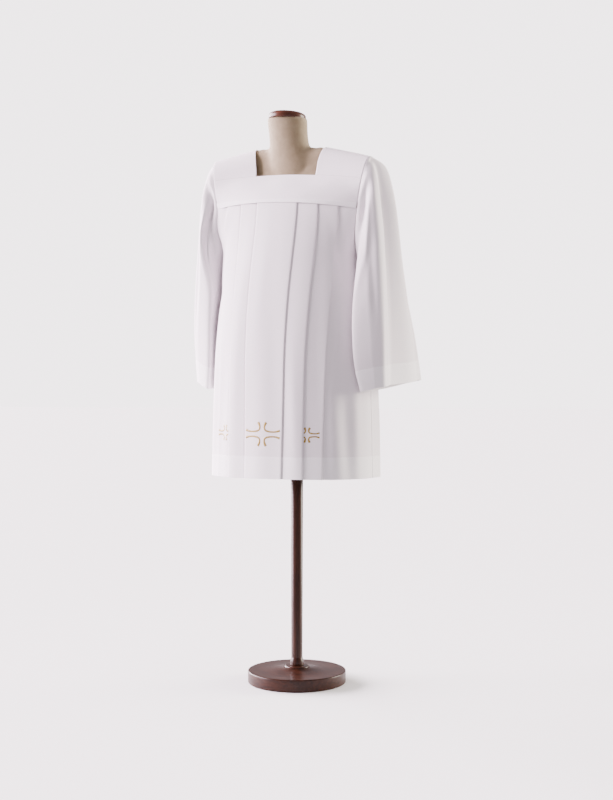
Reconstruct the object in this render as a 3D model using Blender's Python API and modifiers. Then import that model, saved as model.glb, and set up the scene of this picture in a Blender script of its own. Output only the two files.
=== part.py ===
"""A pleated surplice with a square yoke and bell sleeves, standing on a limbless dress form.

Metres, +Z up. The front faces -Y and the wearer's left is +X. The origin is the centre of the
base's underside.
"""

import math

import bmesh
import bpy
import numpy as np

# Driving sizes of the cloth
WALL = 0.0012
SEAM_GAP = 0.0004
YOKE_SEAM_GAP = 0.0009
HEM_HEIGHT = 0.577
SEAM_HEIGHT = 1.323
SEAM_SIDE_DROP = 0.012
UNDERARM_HEIGHT = 1.190
FLATTER_FROM = 1.080
ARMHOLE_CENTRE = 1.323
ARMHOLE_RISE = 0.133
ARMHOLE_FRONT = 0.052
ARMHOLE_BACK = 0.072
ARMHOLE_TOP_X = 0.248
ARMHOLE_TOP_Y = -0.030
ARMHOLE_LOW_X = 0.199
SIDE_SEAM_Y = -0.010
NECK_FRONT_ANGLE = 58.0
NECK_BACK_ANGLE = -42.0
SEAM_ANGLE = 95.0

# Pleats: the outer fold of each panel from the middle, and how far it is turned under
PLEAT_FOLDS = (0.060, 0.119, 0.178)
PLEAT_UNDER = 0.022
PLEAT_RISE = 0.034
PLEAT_TUCK = 0.002
MIDDLE_FLAT = 0.030
PITCH_AT_SEAM = 0.0021
PITCH_AT_HEM = 0.0032
RIDGE_WIDTH = 0.013
RIDGE_PROUD = 0.0024
RIDGE_TURN = 0.8
YOKE_METRES_PER_DEGREE = 0.0017

# The form leans a little to the wearer's left, and the upper cloth leans with it
LEAN = 0.070
LEAN_FROM = 0.60
LEAN_FULL = 0.95

# How the cloth falls: the sag of a row towards its edge, and the tilt of a cuff
ROW_SAG = 2.2
CUFF_TILT = 0.100

# Driving sizes of the form and the stand
FORM_CLEAR = 0.0011
CAP_RADIUS = 0.052
CAP_HEIGHT = 0.021
BASE_RADIUS = 0.137
BASE_THICK = 0.034
POLE_RADIUS = 0.019
FORM_BOTTOM = 0.780

# Body of the garment: half width, front and back at each height
BODY = (
    # z, half_width, front_y, back_y, squareness
    (0.577, 0.2400, -0.1870, 0.1650, 2.35),
    (0.760, 0.2370, -0.1810, 0.1560, 2.30),
    (0.940, 0.2300, -0.1730, 0.1480, 2.30),
    (1.100, 0.2150, -0.1530, 0.1400, 2.25),
    (1.190, 0.1990, -0.1360, 0.1330, 2.20),
    (1.270, 0.2120, -0.1200, 0.1260, 2.20),
    (1.323, 0.2240, -0.1110, 0.1180, 2.20),
)

# Yoke: each row runs from the middle to the armhole at this angle round the armhole
YOKE = (
    # angle, middle_y, middle_z, power, neck_x
    (95.0, -0.1110, 1.3230, 2.2, 0.094),
    (86.0, -0.1045, 1.3370, 2.1, 0.094),
    (72.0, -0.0860, 1.3700, 1.9, 0.094),
    (58.0, -0.0620, 1.4070, 1.7, 0.095),
    (40.0, -0.0555, 1.4520, 1.5, 0.100),
    (20.0, -0.0460, 1.4880, 1.3, 0.107),
    (0.0, -0.0280, 1.5010, 1.3, 0.112),
    (-20.0, 0.0000, 1.4920, 1.3, 0.113),
    (-42.0, 0.0300, 1.4620, 1.5, 0.112),
    (-62.0, 0.0620, 1.4200, 1.7, 0.111),
    (-80.0, 0.0930, 1.3750, 1.9, 0.110),
    (-95.0, 0.1180, 1.3230, 2.2, 0.110),
)

# Sleeve: each ring from its outer end to its inner end, and from front to back
SLEEVE = (
    # out_x, out_z, in_x, in_z, front_y, back_y, squareness, wrap
    (0.2480, 1.4560, 0.1990, 1.1900, -0.052, 0.072, 2.0, 0.000),
    (0.2720, 1.4320, 0.2100, 1.1560, -0.068, 0.076, 2.3, 0.004),
    (0.2860, 1.3640, 0.2170, 1.1150, -0.088, 0.078, 2.7, 0.012),
    (0.2940, 1.2800, 0.2240, 1.0700, -0.099, 0.084, 3.1, 0.020),
    (0.2990, 1.1860, 0.2300, 1.0240, -0.104, 0.100, 3.5, 0.026),
    (0.3040, 1.0840, 0.2345, 0.9700, -0.103, 0.132, 3.8, 0.028),
    (0.3060, 0.9680, 0.2400, 0.8980, -0.098, 0.172, 4.4, 0.024),
    (0.3040, 0.8480, 0.2480, 0.8190, -0.084, 0.204, 5.0, 0.014),
)

# Folds of a sleeve: angle at the armhole and at the cuff, half width, and height at each end
SLEEVE_FOLDS = (
    # angle_top, angle_cuff, half_width, lift_top, lift_middle, lift_cuff
    (4.0, 40.0, 9.0, 0.0050, 0.0060, 0.0030),
    (-10.0, -8.0, 9.0, 0.0050, 0.0030, 0.0020),
    (-3.0, 16.0, 8.0, -0.0030, -0.0060, -0.0050),
    (22.0, 92.0, 13.0, -0.0060, -0.0110, -0.0020),
    (-40.0, -70.0, 14.0, -0.0040, -0.0090, -0.0060),
)

# Torso and neck of the form
FORM = (
    # z, half_width, front_y, back_y, squareness
    (0.7800, 0.1380, -0.100, 0.088, 2.2),
    (0.7860, 0.1500, -0.111, 0.098, 2.2),
    (0.8000, 0.1590, -0.119, 0.105, 2.2),
    (0.8800, 0.1680, -0.124, 0.112, 2.2),
    (0.9600, 0.1580, -0.116, 0.104, 2.2),
    (1.0400, 0.1500, -0.107, 0.096, 2.2),
    (1.1200, 0.1560, -0.108, 0.100, 2.2),
    (1.2000, 0.1680, -0.110, 0.106, 2.2),
    (1.2700, 0.1790, -0.104, 0.106, 2.2),
    (1.3200, 0.1880, -0.092, 0.088, 2.2),
    (1.3700, 0.1980, -0.070, 0.062, 2.2),
    (1.4050, 0.2040, -0.055, 0.034, 2.1),
    (1.4350, 0.2070, -0.050, 0.004, 2.0),
    (1.4560, 0.2060, -0.047, -0.012, 2.0),
)

# The form's shoulder line, above the rows of the torso: it follows the yoke's own ridge
FORM_SHOULDERS = (
    # half_width, half_depth
    (0.200, 0.018),
    (0.180, 0.018),
    (0.150, 0.015),
    (0.120, 0.012),
    (0.100, 0.008),
    (0.085, 0.005),
)

# The form's neck, which leans forward
FORM_NECK = (
    # z, middle_x, middle_y, half_width, half_depth
    (1.4000, 0.000, -0.012, 0.080, 0.044),
    (1.4400, -0.001, -0.020, 0.073, 0.047),
    (1.4700, -0.003, -0.027, 0.065, 0.046),
    (1.4950, -0.005, -0.032, 0.059, 0.045),
    (1.5300, -0.007, -0.036, 0.058, 0.045),
    (1.5665, -0.008, -0.039, 0.058, 0.046),
)

COLOURS = {
    "cloth": ((0.86, 0.83, 0.85, 1.0), 0.75),
    "linen": ((0.72, 0.64, 0.52, 1.0), 0.85),
    "mahogany": ((0.16, 0.055, 0.030, 1.0), 0.25),
}


def smooth_step(value, low, high):
    """0 at low, 1 at high, level at both ends."""
    part = min(max((value - low) / (high - low), 0.0), 1.0)
    return part * part * (3.0 - 2.0 * part)


def smooth_row(table, key, at):
    """One row of a table at a key value, on a smooth curve through its rows."""
    rows = np.array(table, float)
    keys = rows[:, key]
    if keys[0] > keys[-1]:
        rows = rows[::-1]
        keys = keys[::-1]
    slopes = np.gradient(rows, keys, axis=0)
    at = min(max(at, keys[0]), keys[-1])
    low = min(int(np.searchsorted(keys, at, side="right")) - 1, len(keys) - 2)
    span = keys[low + 1] - keys[low]
    part = (at - keys[low]) / span
    start = rows[low] * (1.0 + 2.0 * part) * (1.0 - part) ** 2
    start = start + slopes[low] * span * part * (1.0 - part) ** 2
    end = rows[low + 1] * (3.0 - 2.0 * part) * part**2
    end = end + slopes[low + 1] * span * (part - 1.0) * part**2
    return start + end


def lean(point):
    """A point of the upright garment, moved to where the leaning form holds it."""
    x, y, z = point
    return x, y, z - LEAN * x * smooth_step(z, LEAN_FROM, LEAN_FULL)


def armhole(angle):
    """A point of the wearer's left armhole: 0 is the shoulder, and a positive angle is in front."""
    turn = math.radians(angle)
    depth = ARMHOLE_FRONT if angle > 0 else ARMHOLE_BACK
    rise = ARMHOLE_RISE * math.cos(turn)
    height = (rise + ARMHOLE_RISE) / (2.0 * ARMHOLE_RISE)
    x = ARMHOLE_LOW_X + (ARMHOLE_TOP_X - ARMHOLE_LOW_X) * height
    y = -depth * math.sin(turn)
    y += SIDE_SEAM_Y * (1.0 - height) + ARMHOLE_TOP_Y * height**2
    return np.array((x, y, ARMHOLE_CENTRE + rise))


def body_outline(height, facing):
    """Points across half of a row, from the middle to its edge, and their distances from the middle.

    facing is 1 for the front and -1 for the back. The edge is the side seam, or the armhole above
    the underarm.
    """
    _, half_width, front, back, square = smooth_row(BODY, 0, height)
    middle = front if facing > 0 else back
    edge_z = height
    edge_x = half_width
    edge_y = SIDE_SEAM_Y
    flatness = smooth_step(height, FLATTER_FROM, SEAM_HEIGHT)
    if height > UNDERARM_HEIGHT:
        share = (height - UNDERARM_HEIGHT) / (SEAM_HEIGHT - UNDERARM_HEIGHT)
        edge_z = height - SEAM_SIDE_DROP * share
        turn = math.degrees(math.acos((edge_z - ARMHOLE_CENTRE) / ARMHOLE_RISE))
        edge_x, edge_y, _ = armhole(facing * turn)
    steps = np.linspace(0.0, 1.0, 241)
    across = np.sin(steps * math.pi / 2.0) ** (2.0 / square)
    deep = 1.0 - np.cos(steps * math.pi / 2.0) ** (2.0 / square)
    flat = across**ROW_SAG
    x = edge_x * across
    y = middle + (edge_y - middle) * ((1.0 - flatness) * deep + flatness * flat)
    z = height + (edge_z - height) * flat
    points = np.stack([x, y, z], axis=1)
    run = np.linalg.norm(np.diff(points, axis=0), axis=1)
    return points, np.concatenate([[0.0], np.cumsum(run)])


def pleat_path(run, pitch):
    """One half of a pleated row: distance from the middle, and depth below the outer face."""
    path = [(0.0, 0.0), (MIDDLE_FLAT, 0.0)]
    for fold in PLEAT_FOLDS:
        inner = fold - PLEAT_UNDER
        path.append((fold, 0.0))
        path.append((fold, pitch))
        path.append((inner, pitch))
        path.append((inner, 2.0 * pitch))
        path.append((fold + PLEAT_TUCK, 2.0 * pitch))
        if fold != PLEAT_FOLDS[-1]:
            path.append((fold + PLEAT_RISE, 0.0))
    start = PLEAT_FOLDS[-1] + PLEAT_TUCK
    for share in (0.20, 0.40, 0.60, 0.80, 1.0):
        depth = 2.0 * pitch * max(0.0, 1.0 - 1.6 * share)
        path.append((start + (run - start) * share, depth))
    return path


def body_point(outline, distance, depth):
    """A point on a row, set in from its outer face along the row's normal."""
    points, runs = outline
    at = [np.interp(distance, runs, points[:, axis]) for axis in range(3)]
    step = 0.004
    low = np.array([np.interp(distance - step, runs, points[:, axis]) for axis in range(3)])
    high = np.array([np.interp(distance + step, runs, points[:, axis]) for axis in range(3)])
    along = high - low
    normal = np.array((along[1], -along[0], 0.0)) / math.hypot(along[0], along[1])
    if distance <= 0.0:
        normal = np.array((0.0, -1.0 if points[0, 1] < 0 else 1.0, 0.0))
    if normal[1] * points[0, 1] < 0 and distance < runs[-1] * 0.6:
        normal = -normal
    if distance >= runs[-1] * 0.6 and normal[0] < 0:
        normal = -normal
    return np.array(at) - depth * normal


def panel_rows(facing):
    """Rows of points of the front or the back, from the hem to the yoke seam."""
    heights = (0.577, 0.635, 0.720, 0.830, 0.940, 1.030, 1.110, 1.165, 1.190, 1.222, 1.255, 1.290)
    rows = []
    for height in heights + (SEAM_HEIGHT - YOKE_SEAM_GAP,):
        outline = body_outline(height, facing)
        share = (height - HEM_HEIGHT) / (SEAM_HEIGHT - HEM_HEIGHT)
        pitch = PITCH_AT_HEM + (PITCH_AT_SEAM - PITCH_AT_HEM) * share
        half = [body_point(outline, *step) for step in pleat_path(outline[1][-1], pitch)]
        mirrored = [point * (-1.0, 1.0, 1.0) for point in half[:0:-1]]
        row = mirrored + half
        for end in (0, -1):
            row[end][1] -= facing * SEAM_GAP
        rows.append(row if facing > 0 else row[::-1])
    return rows


def yoke_point(angle, across, raised=0.0):
    """A point of the yoke: across runs from 0 in the middle to 1 at the armhole."""
    _, middle_y, middle_z, power, _ = smooth_row(YOKE, 0, angle)
    edge = armhole(angle)
    bend = abs(across) ** power
    y = middle_y + (edge[1] - middle_y) * bend
    z = middle_z + (edge[2] - middle_z) * bend
    out = math.copysign(raised, angle)
    return np.array((edge[0] * across, y - out * 0.8, z + raised * 0.6))


def yoke_ridge(angle):
    """How far the yoke stands proud where the pleats are sewn in behind it."""
    degrees = SEAM_ANGLE - abs(angle)
    above = degrees * YOKE_METRES_PER_DEGREE
    turned_under = smooth_step(degrees, 0.0, RIDGE_TURN)
    return RIDGE_PROUD * turned_under * (1.0 - smooth_step(above, RIDGE_WIDTH * 0.8, RIDGE_WIDTH))


def yoke_band_rows(angles):
    """Rows of a band that runs from armhole to armhole."""
    rows = []
    for angle in angles:
        raised = yoke_ridge(angle)
        row = []
        for share in np.linspace(-1.0, 1.0, 21):
            row.append(yoke_point(angle, float(share), raised))
        rows.append(row)
    return rows


def yoke_shoulder_rows(angles, side):
    """Rows of a shoulder piece, from the neck opening to the armhole."""
    rows = []
    for angle in angles:
        neck_x = smooth_row(YOKE, 0, angle)[4]
        first = neck_x / armhole(angle)[0]
        row = []
        for share in np.linspace(first, 1.0, 9):
            row.append(yoke_point(angle, side * float(share)))
        rows.append(row)
    return rows


def sleeve_lift(angle, along):
    """How far a sleeve's folds raise or sink it, by the angle round it and the way along it."""
    total = 0.0
    for top, cuff, half_width, lift_top, lift_middle, lift_cuff in SLEEVE_FOLDS:
        centre = top + (cuff - top) * along
        width = half_width * (1.0 + 0.6 * along)
        apart = (angle - centre + 180.0) % 360.0 - 180.0
        first = lift_top + (lift_middle - lift_top) * min(along / 0.35, 1.0)
        lift = first + (lift_cuff - lift_middle) * max(0.0, (along - 0.35) / 0.65)
        total += lift * math.exp(-((apart / width) ** 2))
    return total * smooth_step(along, 0.0, 0.06)


def sleeve_angles():
    """Angles round a sleeve from the shoulder, closer together at the cap's pleats."""
    near = list(np.arange(-40.0, 40.1, 5.0))
    far = list(np.arange(50.0, 310.1, 10.0))
    return near + far


def sleeve_ring(along, side):
    """One ring of a sleeve: 0 is at the armhole and 1 at the cuff."""
    table = [(index / (len(SLEEVE) - 1), *row) for index, row in enumerate(SLEEVE)]
    _, out_x, out_z, in_x, in_z, front, back, square, wrap = smooth_row(table, 0, along)
    middle_x = (out_x + in_x) / 2.0
    middle_z = (out_z + in_z) / 2.0
    ring = []
    for angle in sleeve_angles():
        turn = math.radians(angle)
        up = math.copysign(abs(math.cos(turn)) ** (2.0 / square), math.cos(turn))
        forward = math.copysign(abs(math.sin(turn)) ** (2.0 / square), math.sin(turn))
        lift = sleeve_lift(angle, along)
        deep = -front if forward > 0 else back
        y = -forward * (deep + lift * abs(forward))
        inner = 0.5 * (1.0 - up)
        x = middle_x + up * (out_x - in_x) / 2.0 - wrap * inner * forward**2 + lift * max(up, 0.0)
        z = middle_z + up * (out_z - in_z) / 2.0
        z += CUFF_TILT * along**2 * y
        y += SIDE_SEAM_Y * inner * (1.0 - along)
        y += ARMHOLE_TOP_Y * (1.0 - inner) ** 2 * (1.0 - along) ** 3
        x += SEAM_GAP + WALL * (0.4 + 1.2 * inner)
        ring.append(np.array((side * x, y, z)))
    return ring


def oval(middle_x, middle_y, half_width, half_depth, square, height):
    """One ring of the form."""
    ring = []
    for turn in np.linspace(0.0, 2.0 * math.pi, 36, endpoint=False):
        across = math.copysign(abs(math.cos(turn)) ** (2.0 / square), math.cos(turn))
        deep = math.copysign(abs(math.sin(turn)) ** (2.0 / square), math.sin(turn))
        ring.append((middle_x + half_width * across, middle_y + half_depth * deep, height))
    return ring


def torso_rings():
    """Rings of the form, from its closed bottom to the ridge of its shoulders."""
    rings = []
    for height, half_width, front, back, square in FORM:
        middle = (front + back) / 2.0
        rings.append(oval(0.0, middle, half_width, (back - front) / 2.0, square, height))
    for half_width, half_depth in FORM_SHOULDERS:
        ridge = yoke_point(0.0, half_width / ARMHOLE_TOP_X)
        height = ridge[2] - WALL / 2.0 - FORM_CLEAR
        rings.append(oval(0.0, ridge[1], half_width, half_depth, 2.0, height))
    return rings


def neck_rings():
    """Rings of the form's neck, from inside the torso to its flat top."""
    rings = []
    for height, middle_x, middle_y, half_width, half_depth in FORM_NECK:
        rings.append(oval(middle_x, middle_y, half_width, half_depth, 2.0, height))
    return rings


def clear_scene():
    """Remove what the scene opens with."""
    for thing in tuple(bpy.data.objects):
        bpy.data.objects.remove(thing, do_unlink=True)


def make_material(name):
    """A plain finish of the named colour."""
    colour, roughness = COLOURS[name.split("_")[0]]
    material = bpy.data.materials.new(name)
    material.use_nodes = True
    shader = material.node_tree.nodes["Principled BSDF"]
    shader.inputs["Base Color"].default_value = colour
    shader.inputs["Roughness"].default_value = roughness
    shader.inputs["Metallic"].default_value = 0.0
    return material


def add_mesh(name, bm, finish, collection):
    """A named object in the collection, with its own material and smooth shading."""
    mesh = bpy.data.meshes.new(name)
    bm.to_mesh(mesh)
    bm.free()
    mesh.shade_smooth()
    mesh.materials.append(make_material(finish + "_" + name))
    thing = bpy.data.objects.new(name, mesh)
    collection.objects.link(thing)
    return thing


def loft(rows, closed):
    """Faces between neighbouring rows of points, closed round when the rows are rings."""
    bm = bmesh.new()
    grid = [[bm.verts.new(lean(point)) for point in row] for row in rows]
    count = len(grid[0])
    last = count if closed else count - 1
    for low, high in zip(grid, grid[1:]):
        for index in range(last):
            after = (index + 1) % count
            bm.faces.new((low[index], low[after], high[after], high[index]))
    return bm, grid


def cloth(name, rows, collection, closed=False):
    """A piece of cloth: its middle surface, given the wall's thickness."""
    bm, _ = loft(rows, closed)
    piece = add_mesh(name, bm, "cloth", collection)
    wall = piece.modifiers.new("Wall", "SOLIDIFY")
    wall.thickness = WALL
    wall.offset = 0.0
    wall.use_even_offset = True
    return piece


def turned(name, profile, centre, finish, collection):
    """A turned piece: the profile runs from the axis round its outer side, top to bottom."""
    bm = bmesh.new()
    verts = [bm.verts.new((radius, 0.0, height)) for radius, height in profile]
    for first, second in zip(verts, verts[1:]):
        bm.edges.new((first, second))
    piece = add_mesh(name, bm, finish, collection)
    piece.location = centre
    spin = piece.modifiers.new("Turn", "SCREW")
    spin.axis = "Z"
    spin.steps = 40
    spin.render_steps = 40
    spin.use_merge_vertices = True
    spin.merge_threshold = 0.0001
    return piece


def round_corner(centre_radius, centre_height, radius, start, end, count):
    """Points on an arc of a profile, between two angles from +X."""
    points = []
    for turn in np.radians(np.linspace(start, end, count)):
        points.append((centre_radius + radius * math.cos(turn), centre_height + radius * math.sin(turn)))
    return points


def make_garment(collection):
    """The cut and sewn pieces."""
    cloth("front_panel", panel_rows(1), collection)
    cloth("back_panel", panel_rows(-1), collection)
    front_angles = (95.0, 94.2, 90.0, 87.6, 86.6, 80.0, 73.0, 65.5, NECK_FRONT_ANGLE)
    back_angles = (-42.0, -50.0, -58.0, -66.0, -74.0, -81.0, -86.6, -87.6, -90.0, -94.2, -95.0)
    cloth("yoke_front", yoke_band_rows(front_angles), collection)
    cloth("yoke_back", yoke_band_rows(back_angles), collection)
    split = 0.25
    shoulder_angles = np.linspace(NECK_FRONT_ANGLE - split, NECK_BACK_ANGLE + split, 13)
    for side, word in ((1.0, "left"), (-1.0, "right")):
        rows = yoke_shoulder_rows(shoulder_angles, side)
        cloth("yoke_shoulder_" + word, rows, collection)
    stations = (0.0, 0.03, 0.08, 0.14, 0.21, 0.29, 0.38, 0.48, 0.59, 0.70, 0.80, 0.90, 1.0)
    for side, word in ((1.0, "left"), (-1.0, "right")):
        rings = [sleeve_ring(along, side) for along in stations]
        cloth("sleeve_" + word, rings, collection, closed=True)


def closed_loft(rings):
    """A solid through rings, with flat ends."""
    bm, grid = loft(rings, closed=True)
    bm.faces.new(grid[0][::-1])
    bm.faces.new(grid[-1])
    bmesh.ops.recalc_face_normals(bm, faces=bm.faces)
    return bm


def make_form(collection, cutters):
    """The limbless torso joined to its neck, and the turned cap."""
    torso = add_mesh("form_torso", closed_loft(torso_rings()), "linen", collection)
    neck = add_mesh("neck_to_join", closed_loft(neck_rings()), "linen", cutters)
    neck.hide_render = True
    neck.display_type = "WIRE"
    join = torso.modifiers.new("Neck", "BOOLEAN")
    join.operation = "UNION"
    join.object = neck
    edge = 0.006
    profile = [(0.0, CAP_HEIGHT), (0.014, CAP_HEIGHT - 0.0006), (0.028, CAP_HEIGHT - 0.0028)]
    profile += [(0.040, CAP_HEIGHT - 0.0070)]
    profile += round_corner(CAP_RADIUS - edge, edge, edge, 55.0, -90.0, 6)
    profile += [(0.0, 0.0)]
    height, middle_x, middle_y, _, _ = FORM_NECK[-1]
    x, y, z = lean((middle_x, middle_y, height))
    cap = turned("neck_cap", profile, (x, y, z + SEAM_GAP), "mahogany", collection)
    cap.rotation_euler = (0.0, math.atan(LEAN), 0.0)


def make_stand(collection):
    """The turned pole and the round base."""
    foot = 0.012
    edge = BASE_THICK / 2.0
    profile = [(0.0, BASE_THICK + foot), (0.026, BASE_THICK + foot), (0.030, BASE_THICK + foot - 0.004)]
    profile += [(0.034, BASE_THICK + 0.003), (0.060, BASE_THICK + 0.0005)]
    profile += round_corner(BASE_RADIUS - edge, edge, edge, 80.0, -70.0, 9)
    profile += [(BASE_RADIUS - edge, 0.0), (0.0, 0.0)]
    turned("stand_base", profile, (0.0, 0.0, 0.0), "mahogany", collection)
    low = BASE_THICK + foot + SEAM_GAP
    high = lean((POLE_RADIUS, 0.0, FORM_BOTTOM))[2] - SEAM_GAP
    bm = bmesh.new()
    bmesh.ops.create_cone(
        bm,
        cap_ends=True,
        segments=32,
        radius1=POLE_RADIUS,
        radius2=POLE_RADIUS,
        depth=high - low,
    )
    pole = add_mesh("stand_pole", bm, "mahogany", collection)
    pole.location = (0.0, 0.0, (low + high) / 2.0)


def main():
    clear_scene()
    collection = bpy.data.collections.new("surplice_on_a_dress_form")
    bpy.context.scene.collection.children.link(collection)
    make_garment(collection)
    cutters = bpy.data.collections.new("cutters")
    bpy.context.scene.collection.children.link(cutters)
    make_form(collection, cutters)
    make_stand(collection)


main()
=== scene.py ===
import math

import bmesh
import bpy
import numpy as np
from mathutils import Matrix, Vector


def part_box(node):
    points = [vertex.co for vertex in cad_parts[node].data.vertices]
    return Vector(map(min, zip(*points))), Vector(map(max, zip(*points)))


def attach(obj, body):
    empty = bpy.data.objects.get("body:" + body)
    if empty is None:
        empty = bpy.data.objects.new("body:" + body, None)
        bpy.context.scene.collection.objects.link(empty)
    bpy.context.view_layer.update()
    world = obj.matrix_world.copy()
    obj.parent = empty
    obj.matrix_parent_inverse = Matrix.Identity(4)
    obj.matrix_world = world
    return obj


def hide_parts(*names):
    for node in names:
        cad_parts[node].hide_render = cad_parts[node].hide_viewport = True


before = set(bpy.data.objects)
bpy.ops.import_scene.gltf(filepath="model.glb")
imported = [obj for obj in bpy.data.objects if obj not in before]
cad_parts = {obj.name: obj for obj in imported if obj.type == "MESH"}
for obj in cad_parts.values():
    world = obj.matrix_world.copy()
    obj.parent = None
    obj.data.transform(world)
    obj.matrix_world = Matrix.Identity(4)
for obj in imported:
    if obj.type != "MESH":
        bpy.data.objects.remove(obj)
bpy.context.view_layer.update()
bpy.ops.object.select_all(action="DESELECT")

# ---- Camera, floor and light ----
# A pale studio floor with three soft lights: two on the wearer's right, in front and beside, and
# a warmer one that rims the wearer's left sleeve from behind. The camera is level, at hip height.


def new_object(name, data):
    """An object for a mesh, a lamp or a camera, linked to the scene."""
    made = bpy.data.objects.new(name, data)
    bpy.context.scene.collection.objects.link(made)
    return made


camera_data = bpy.data.cameras.new("camera")
camera_data.lens = 55.17
camera_data.sensor_width = 36.0
camera = new_object("camera", camera_data)
camera.location = (1.738, -2.9567, 0.787)
camera.rotation_euler = (math.radians(90.0), 0.0, math.radians(30.0))
bpy.context.scene.camera = camera


def finish_of(name, colour, roughness):
    """A new material with its shader, ready for a pattern."""
    material = bpy.data.materials.new(name)
    material.use_nodes = True
    shader = material.node_tree.nodes["Principled BSDF"]
    shader.inputs["Base Color"].default_value = (*colour, 1.0)
    shader.inputs["Roughness"].default_value = roughness
    return material, material.node_tree, shader


def node(tree, kind, **values):
    """A node, with the named inputs set."""
    made = tree.nodes.new("ShaderNode" + kind)
    for key, value in values.items():
        made.inputs[key.replace("_", " ")].default_value = value
    return made


def ramp(tree, low, high, ends=(0.0, 1.0)):
    """A ramp between two colours, with the places of its ends."""
    made = node(tree, "ValToRGB")
    for stop, colour, place in zip(made.color_ramp.elements, (low, high), ends):
        stop.color = (*colour, 1.0)
        stop.position = place
    return made


def join(tree, *links):
    """Join nodes. Each link is a node, its output, the next node and its input."""
    for source, output, target, entry in links:
        tree.links.new(source.outputs[output], target.inputs[entry])


FLOOR_SPAN = 200.0
FLOOR_BELOW = 0.0005
bpy.ops.mesh.primitive_plane_add(size=FLOOR_SPAN, location=(0.0, 0.0, -FLOOR_BELOW))
floor = bpy.context.object
floor.name = "floor"
floor_finish, floor_tree, floor_shader = finish_of("studio_floor", (0.86, 0.86, 0.86), 0.9)
floor_noise = node(floor_tree, "TexNoise", Scale=3.0, Detail=4.0)
floor_ramp = ramp(floor_tree, (0.94, 0.94, 0.94), (0.96, 0.96, 0.96))
join(
    floor_tree,
    (node(floor_tree, "TexCoord"), "Object", floor_noise, "Vector"),
    (floor_noise, "Fac", floor_ramp, "Fac"),
    (floor_ramp, "Color", floor_shader, "Base Color"),
)
floor.data.materials.append(floor_finish)
floor.visible_diffuse = False

world = bpy.data.worlds.new("studio")
bpy.context.scene.world = world
world.use_nodes = True
sky = world.node_tree
ambient = sky.nodes["Background"]
ambient.inputs["Color"].default_value = (1.0, 0.90, 0.965, 1.0)
ambient.inputs["Strength"].default_value = 0.85
backdrop = node(sky, "Background", Color=(1.0, 0.915, 0.950, 1.0), Strength=4.2)
either = node(sky, "MixShader")
join(
    sky,
    (node(sky, "LightPath"), "Is Camera Ray", either, 0),
    (ambient, 0, either, 1),
    (backdrop, 0, either, 2),
    (either, 0, sky.nodes["World Output"], 0),
)


def soft_light(name, direction, spread, strength, colour):
    """A broad lamp far off, shining from this direction with soft-edged shadows."""
    data = bpy.data.lights.new(name, "SUN")
    data.angle = math.radians(spread)
    data.energy = strength
    data.color = colour
    lamp = new_object(name, data)
    lamp.location = Vector(direction) * 3.0
    lamp.rotation_euler = (-Vector(direction)).to_track_quat("-Z", "Y").to_euler()


soft_light("main_light", (-0.875, -0.408, 0.26), 36.0, 17.5, (1.0, 0.83, 0.935))
soft_light("side_light", (-0.98, 0.17, 0.20), 45.0, 21.0, (1.0, 0.87, 0.94))
soft_light("rim_light", (0.70, 0.70, 0.22), 30.0, 9.0, (1.0, 0.92, 0.80))

# ---- Front panel ----
# White polyester and linen weave, pressed in knife pleats that face outward from a middle box
# panel. The pleats are sewn into the yoke seam above, and a deep hem is turned up below.

HEM_HEIGHT = 0.577
HEM_STITCH_HEIGHT = 0.635
SEAM_HEIGHT = 1.323
SEAM_SIDE_DROP = 0.012
TOP_BEHIND_RIDGE = 0.004
UNDERARM_HEIGHT = 1.190
FLATTER_FROM = 1.200
SEAM_GAP = 0.00006
ARMHOLE_CENTRE = 1.323
ARMHOLE_RISE = 0.133
ARMHOLE_FRONT = 0.052
ARMHOLE_BACK = 0.072
ARMHOLE_TOP_X = 0.248
ARMHOLE_TOP_Y = -0.030
ARMHOLE_LOW_X = 0.199
SIDE_SEAM_Y = -0.010
PLEAT_FOLDS = np.array((0.0630, 0.1225, 0.1790))
PLEAT_FOLDS_AT_HEM = np.array((0.0570, 0.1170, 0.1720))
PLEAT_UNDER = 0.022
PLEAT_TUCK = 0.002
PITCH_AT_SEAM = 0.0013
PITCH_AT_HEM = 0.0017
FOLD_FOOT = 0.0029
FOLD_FOOT_WIDTH = 0.0036
ROW_SAG = 2.2
LEAN = 0.070
LEAN_FROM = 0.60
LEAN_FULL = 0.95
CLOTH_THICK = 0.0009
SIDE_FULLNESS = 0.020
SIDE_FULL_HEIGHTS = (1.06, 1.19, 1.24, 1.33)
SIDE_FULL_WIDTHS = (0.10, 0.18, 0.24, 0.29)
FOLD_WANDER = 0.0012
PANEL_RIPPLE = 0.0010
STITCH_GROOVE = 0.00025
GROOVE_WIDTH = 0.0012
NORMAL_REACH = 0.004

BODY = (
    # z, half_width, front_y, back_y, squareness
    (0.577, 0.2400, -0.1870, 0.1650, 2.35),
    (0.760, 0.2370, -0.1810, 0.1560, 2.30),
    (0.940, 0.2300, -0.1730, 0.1480, 2.30),
    (1.100, 0.2150, -0.1530, 0.1400, 2.25),
    (1.190, 0.1990, -0.1360, 0.1330, 2.20),
    (1.270, 0.2120, -0.1200, 0.1260, 2.20),
    (1.323, 0.2240, -0.1110, 0.1180, 2.20),
)


def smooth(value, low, high):
    """0 at low, 1 at high, level at both ends."""
    part = np.clip((np.asarray(value, float) - low) / (high - low), 0.0, 1.0)
    return part * part * (3.0 - 2.0 * part)


def between(value, low, low_top, high_top, high):
    """0 outside two places, rising smoothly to 1 between them."""
    return smooth(value, low, low_top) * (1.0 - smooth(value, high_top, high))


def bell(value, middle, half_width):
    """1 at the middle, fading to nothing on both sides."""
    return np.exp(-(((value - middle) / half_width) ** 2))


def run_along(points):
    """Distances of points from the first one, along the line through them."""
    steps = np.linalg.norm(np.diff(points, axis=0), axis=1)
    return np.concatenate([[0.0], np.cumsum(steps)])


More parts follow.
